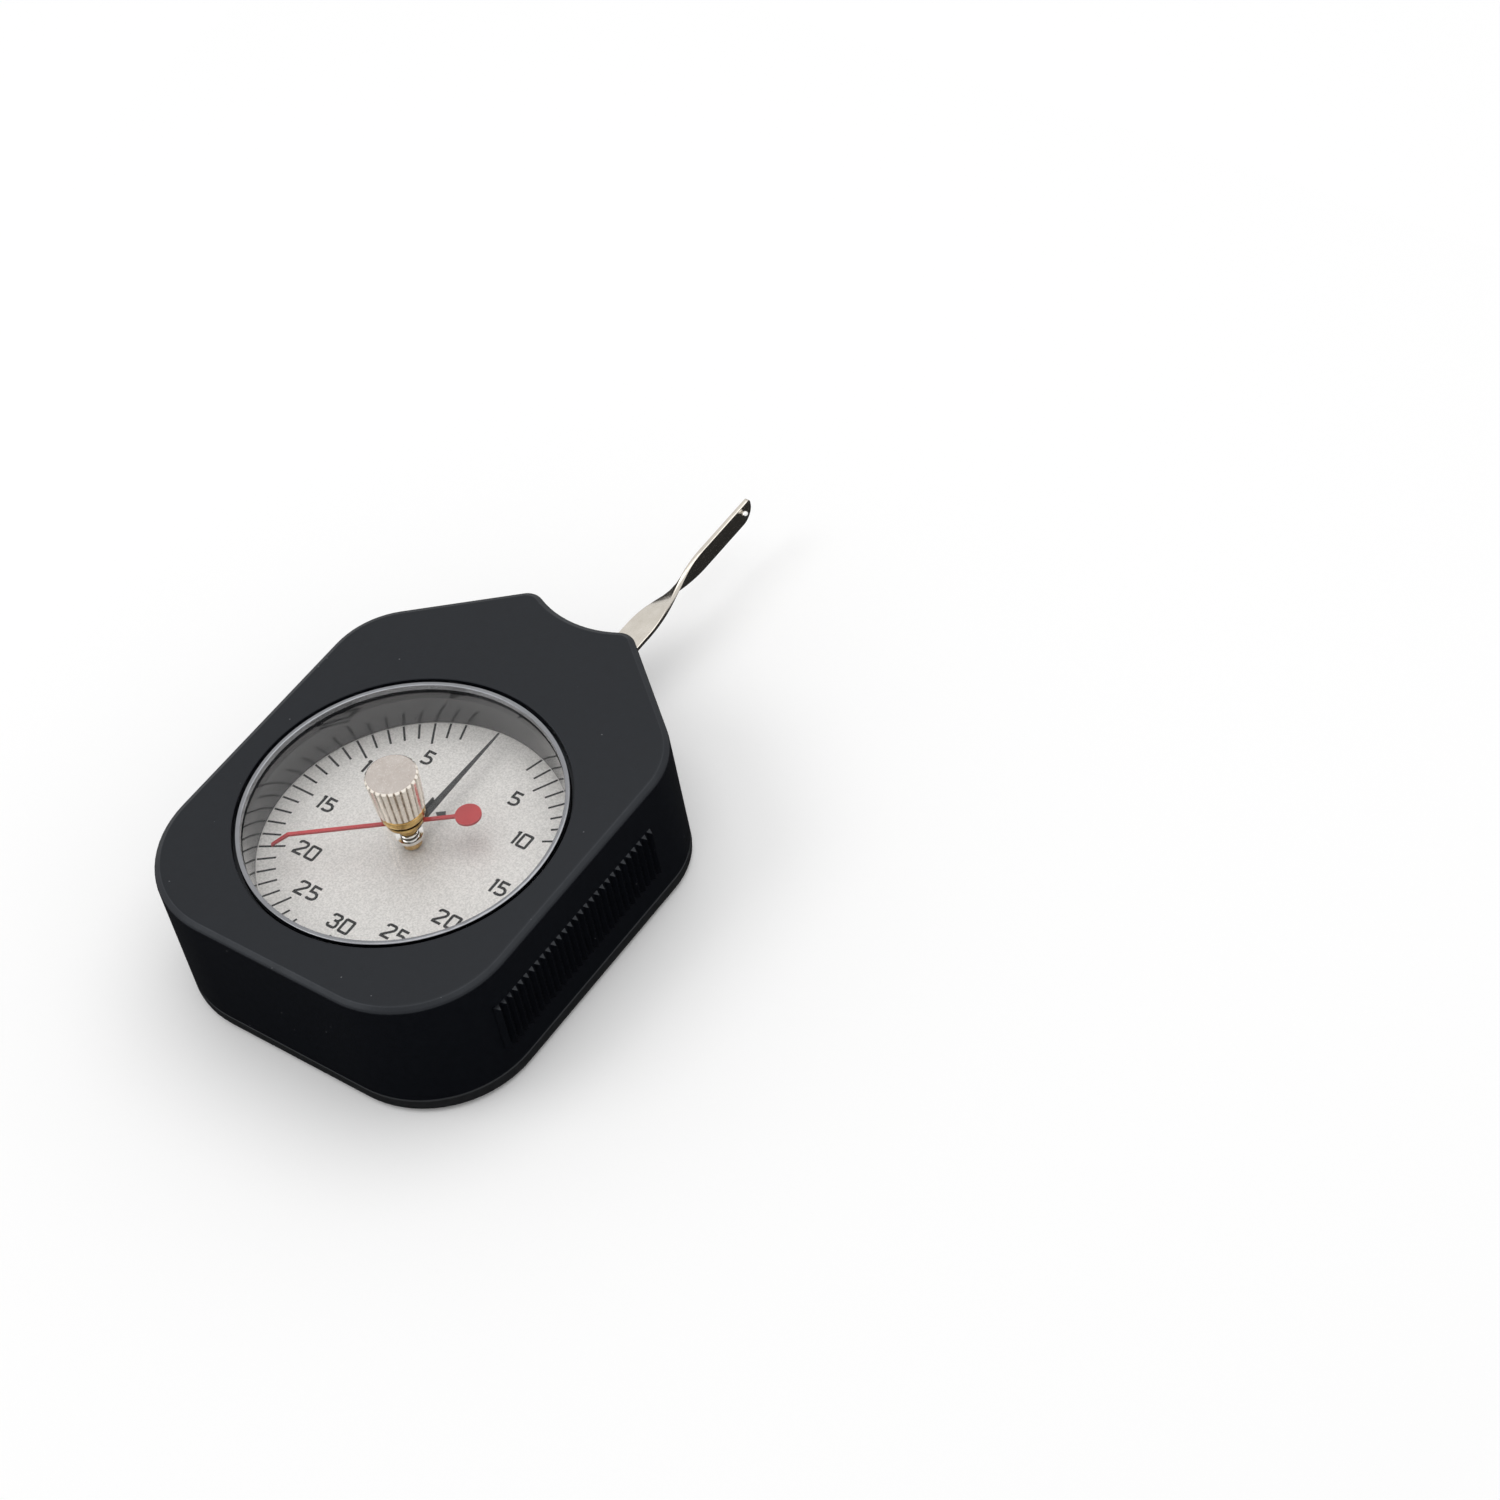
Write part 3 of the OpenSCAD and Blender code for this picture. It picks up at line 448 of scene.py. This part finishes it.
def silvered(name, dark, light):
    """The dial's matt silver face: a fine even grain with a faint sparkle."""
    paint = Paint(name)
    grain = paint.noise(3.2, 1)
    paint.colour(paint.mixed(paint.ranged(grain, NOISE_LOW, NOISE_HIGH), dark, light))
    paint.roughness(paint.clouds(4.0, 3, 0.42, 0.60))
    paint.set(Metallic=0.25)
    paint.bump(grain, 0.004)
    return paint.material


def clear_plastic(name):
    """Polished clear plastic. Lamps and diffuse light shine straight through it on what lies behind."""
    paint = Paint(name)
    paint.set(Transmission_Weight=1.0, IOR=1.34, Roughness=0.0, Base_Color=(0.99, 0.99, 0.99, 1))
    path = paint.node("ShaderNodeLightPath")
    straight = paint.calculated("MAXIMUM", path.outputs["Is Shadow Ray"], path.outputs["Is Diffuse Ray"])
    open_air = paint.node("ShaderNodeBsdfTransparent")
    open_air.inputs["Color"].default_value = (0.95, 0.95, 0.95, 1)
    either = paint.node("ShaderNodeMixShader")
    paint.link(straight, either.inputs[0])
    paint.link(paint.shader.outputs[0], either.inputs[1])
    paint.link(open_air.outputs[0], either.inputs[2])
    output = next(n for n in paint.tree.nodes if n.type == "OUTPUT_MATERIAL")
    paint.link(either.outputs[0], output.inputs["Surface"])
    return paint.material


# One finish for each slot of the record
FINISHES = {
    # case_plastic's last colour is a highlight painted on the upper edges of the case
    "case_plastic": matte_plastic(
        "case_plastic", (0.0024, 0.0030, 0.0050), (0.0032, 0.0040, 0.0064), 0.35, (0.024, 0.026, 0.031)),
    "cover_plastic": matte_plastic(
        "cover_plastic", (0.0120, 0.0125, 0.0135), (0.0175, 0.0180, 0.0195), 0.30),
    "zero_plastic": matte_plastic(
        "zero_plastic", (0.0110, 0.0112, 0.0120), (0.0160, 0.0163, 0.0175), 0.40),
    "crystal_clear": clear_plastic("crystal_clear"),
    "screw_steel": metal("screw_steel", (0.58, 0.58, 0.59), (0.36, 0.35, 0.34), 0.28),
    "ring_metal": metal("ring_metal", (0.26, 0.265, 0.28), (0.20, 0.205, 0.22), 0.17, grain_depth=0.0002),
    "sleeve_grey": gloss_grey("sleeve_grey", (0.084, 0.084, 0.087), (0.096, 0.096, 0.099)),
    # brass: its dark blotches are partly tarnish and partly painted dark reflections
    "brass": metal("brass", (0.80, 0.55, 0.22), (0.20, 0.10, 0.025), 0.14, tarnish_and_dark_reflection=1.0),
    "plate_brass": metal("plate_brass", (0.80, 0.62, 0.30), (0.62, 0.44, 0.18), 0.30, (1.5, 0.12, 1.5)),
    "shaft_steel": metal("shaft_steel", (0.66, 0.67, 0.69), (0.48, 0.48, 0.49), 0.18),
    "spring_steel": metal("spring_steel", (0.30, 0.34, 0.46), (0.20, 0.22, 0.32), 0.22),
    "feeler_steel": metal("feeler_steel", (0.64, 0.60, 0.54), (0.50, 0.46, 0.40), 0.20, (3.0, 0.15, 3.0)),
    "pin_steel": metal("pin_steel", (0.84, 0.83, 0.81), (0.70, 0.69, 0.67), 0.10),
    "knob_nickel": knurled_nickel("knob_nickel"),
    "carrier_dark": metal("carrier_dark", (0.20, 0.20, 0.21), (0.14, 0.14, 0.15), 0.35),
    "pointer_black": painted("pointer_black", (0.020, 0.020, 0.022), (0.032, 0.032, 0.034), 0.38, 0.25),
    "pointer_red": painted("pointer_red", (0.56, 0.052, 0.058), (0.48, 0.043, 0.049), 0.34, 0.20),
    "dial_silver": silvered("dial_silver", (0.62, 0.604, 0.580), (0.81, 0.790, 0.764)),
}
INK = painted("ink", (0.006, 0.006, 0.007), (0.010, 0.010, 0.011), 0.5, 0.1)
# Nodes whose finish differs from the rest of their slot
OWN_FINISH = {"pointer_hub": hub_metal("hub_metal")}


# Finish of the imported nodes

SMOOTH_ANGLE = math.radians(32)
MERGE_DISTANCE = 1e-6


def smoothing_group():
    """Joins split corners and keeps only real edges sharp, so that a rounded edge shades as one surface."""
    tree = bpy.data.node_groups.new("smooth_surface", "GeometryNodeTree")
    tree.interface.new_socket("Geometry", in_out="INPUT", socket_type="NodeSocketGeometry")
    tree.interface.new_socket("Geometry", in_out="OUTPUT", socket_type="NodeSocketGeometry")
    start = tree.nodes.new("NodeGroupInput")
    end = tree.nodes.new("NodeGroupOutput")
    plain = tree.nodes.new("GeometryNodeRemoveAttribute")
    plain.inputs["Name"].default_value = "custom_normal"
    merge = tree.nodes.new("GeometryNodeMergeByDistance")
    merge.inputs["Distance"].default_value = MERGE_DISTANCE
    smooth = tree.nodes.new("GeometryNodeSetShadeSmooth")
    smooth.domain = "FACE"
    smooth.inputs["Shade Smooth"].default_value = True
    angle = tree.nodes.new("GeometryNodeInputMeshEdgeAngle")
    steep = tree.nodes.new("FunctionNodeCompare")
    steep.data_type = "FLOAT"
    steep.operation = "GREATER_THAN"
    steep.inputs[1].default_value = SMOOTH_ANGLE
    sharp = tree.nodes.new("GeometryNodeSetShadeSmooth")
    sharp.domain = "EDGE"
    sharp.inputs["Shade Smooth"].default_value = False
    links = tree.links
    links.new(start.outputs[0], plain.inputs["Geometry"])
    links.new(plain.outputs["Geometry"], merge.inputs["Geometry"])
    links.new(merge.outputs["Geometry"], smooth.inputs["Geometry"])
    links.new(smooth.outputs["Geometry"], sharp.inputs["Geometry"])
    links.new(angle.outputs["Unsigned Angle"], steep.inputs[0])
    links.new(steep.outputs[0], sharp.inputs["Selection"])
    links.new(sharp.outputs["Geometry"], end.inputs[0])
    return tree


def finish_nodes():
    smoothing = smoothing_group()
    slots = {part["node"]: part["material_slot"] for part in frame["record"]["subparts"]}
    for name, node in nodes.items():
        node.data.materials.clear()
        node.data.materials.append(OWN_FINISH.get(name) or FINISHES[slots[name]])
        node.modifiers.new("smooth_surface", "NODES").node_group = smoothing
        weighted = node.modifiers.new("weighted_normals", "WEIGHTED_NORMAL")
        weighted.keep_sharp = True
        weighted.mode = "FACE_AREA"


# Dial print, in millimetres about the dial's axis

INK_DEPTH = 0.02
LINE_W = 0.36
STROKE_W = 0.46
DEGREES_PER_UNIT = 6
FIRST_UNIT = 3
LAST_UNIT = 30
UNITS_PER_LONG_TICK = 5
TICK_OUTER = 24.1
TICK_INNER = 21.1
LONG_TICK_INNER = 19.9

NUMERAL_H = 2.8
NUMERAL_GAP = 0.32
# Centres of the right-hand numerals. The left-hand ones mirror them, but 10 stands further out on the left
NUMERAL_PLACES = {
    5: (8.6, 14.7), 10: (14.3, 8.7), 15: (16.9, -0.3), 20: (13.7, -9.0), 25: (8.5, -15.0), 30: (0, -17.5),
}
LEFT_TEN_SHIFT = -0.9

# Straight pieces in a rounded corner of a numeral
ARC_STEPS = 5
# The cosine below which a sharp corner's mitre gets no longer, so that it is no spike
LEAST_MITRE = 0.35
# A line whose ends are closer than this is closed
SAME_PLACE = 1e-9


def corner(centre, radius, start, end):
    """Points of an arc, angles in degrees."""
    angles = [math.radians(start + (end - start) * i / ARC_STEPS) for i in range(ARC_STEPS + 1)]
    return [(centre[0] + radius * math.cos(a), centre[1] + radius * math.sin(a)) for a in angles]


def digit_strokes(digit):
    """Width and middle lines of a plain technical numeral whose lines run between the heights 0 and 1."""
    if digit == "0":
        r = 0.07
        ring = corner((0.66 - r, 1 - r), r, 90, 0) + corner((0.66 - r, r), r, 0, -90)
        ring += corner((r, r), r, -90, -180) + corner((r, 1 - r), r, 180, 90)
        return 0.66, [ring + ring[:1]]
    if digit == "1":
        return 0.17, [[(0, 0.93), (0.17, 0.93)], [(0.17, 1.06), (0.17, -0.06)]]
    if digit == "2":
        top = [(0, 0.78)] + corner((0.15, 0.85), 0.15, 180, 90) + corner((0.47, 0.83), 0.17, 90, -20)
        return 0.65, [top + [(0.60, 0.66), (0.02, 0.09), (0.02, 0), (0.65, 0)]]
    if digit == "3":
        top = [(0, 0.80)] + corner((0.13, 0.87), 0.13, 180, 90) + corner((0.46, 0.84), 0.16, 90, -30)
        low = corner((0.44, 0.18), 0.18, 40, -90) + corner((0.13, 0.13), 0.13, -90, -180) + [(0, 0.24)]
        return 0.62, [top + [(0.50, 0.54), (0.22, 0.54)], [(0.50, 0.54), (0.60, 0.44)] + low[1:]]
    if digit == "5":
        bowl = [(0.03, 0.55), (0.38, 0.58)] + corner((0.36, 0.29), 0.29, 80, -90) + [(0.12, 0), (0, 0.07)]
        return 0.65, [[(0.60, 1), (0.03, 1)] + bowl]
    raise ValueError(digit)


def add_ribbon(mesh, points, width):
    """A flat line of even width along points in the plane, with mitred corners, as thick as the ink."""
    closed = (Vector(points[0]) - Vector(points[-1])).length < SAME_PLACE
    line = [Vector(p) for p in (points[:-1] if closed else points)]
    count = len(line)
    rings = []
    for i, point in enumerate(line):
        ways = []
        if closed or i > 0:
            ways.append((point - line[i - 1]).normalized())
        if closed or i < count - 1:
            ways.append((line[(i + 1) % count] - point).normalized())
        way = sum(ways, Vector((0, 0))).normalized()
        across = Vector((-way.y, way.x))
        stretch = 1 / max(abs(across.dot(Vector((-ways[0].y, ways[0].x)))), LEAST_MITRE)
        offset = across * (width / 2 * stretch)
        left, right = point + offset, point - offset
        ring = ((left, 0), (left, INK_DEPTH), (right, INK_DEPTH), (right, 0))
        rings.append([mesh.verts.new((p.x, p.y, z)) for p, z in ring])
    spans = count if closed else count - 1
    for i in range(spans):
        first, second = rings[i], rings[(i + 1) % count]
        for j in range(4):
            k = (j + 1) % 4
            mesh.faces.new((first[j], first[k], second[k], second[j]))
    if not closed:
        mesh.faces.new(rings[0][::-1])
        mesh.faces.new(rings[-1])


def numeral_lines(value, centre):
    """Middle lines of a whole number."""
    size = NUMERAL_H - STROKE_W
    digits = [digit_strokes(d) for d in str(value)]
    gap = NUMERAL_GAP + STROKE_W
    total = sum(width * size for width, _ in digits) + gap * (len(digits) - 1)
    x = centre[0] - total / 2
    lines = []
    for width, strokes in digits:
        for stroke in strokes:
            lines.append([(x + px * size, centre[1] + (py - 0.5) * size) for px, py in stroke])
        x += width * size + gap
    return lines


def sides(value):
    """1 for the right and -1 for the left. The last unit is at the bottom, where both sides meet."""
    return (1,) if value == LAST_UNIT else (1, -1)


def add_dial_print():
    """The scale's ticks and numbers, as one raised print that turns with the dial."""
    mesh = bmesh.new()
    for unit in range(FIRST_UNIT, LAST_UNIT + 1):
        inner = TICK_INNER if unit % UNITS_PER_LONG_TICK else LONG_TICK_INNER
        for side in sides(unit):
            angle = math.radians(side * unit * DEGREES_PER_UNIT)
            tick = [(r * math.sin(angle), r * math.cos(angle)) for r in (inner, TICK_OUTER)]
            add_ribbon(mesh, tick, LINE_W)
    for value, (x, y) in NUMERAL_PLACES.items():
        for side in sides(value):
            shift = LEFT_TEN_SHIFT if (value, side) == (10, -1) else 0
            for line in numeral_lines(value, (side * x + shift, y)):
                add_ribbon(mesh, line, STROKE_W)
    bmesh.ops.recalc_face_normals(mesh, faces=mesh.faces)
    bmesh.ops.scale(mesh, vec=(MM, MM, MM), verts=mesh.verts)
    bmesh.ops.translate(mesh, vec=DIAL, verts=mesh.verts)
    data = bpy.data.meshes.new("dial_print")
    mesh.to_mesh(data)
    mesh.free()
    data.materials.append(INK)
    printed = bpy.data.objects.new("dial_print", data)
    scene.collection.objects.link(printed)
    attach(printed, "dial")


add_camera()
add_world()
add_floor()
add_black_card()
for name, (place, size, power) in SOFTBOXES.items():
    add_softbox(name, place, size, power)
scene.view_settings.view_transform = "Standard"
finish_nodes()
add_dial_print()
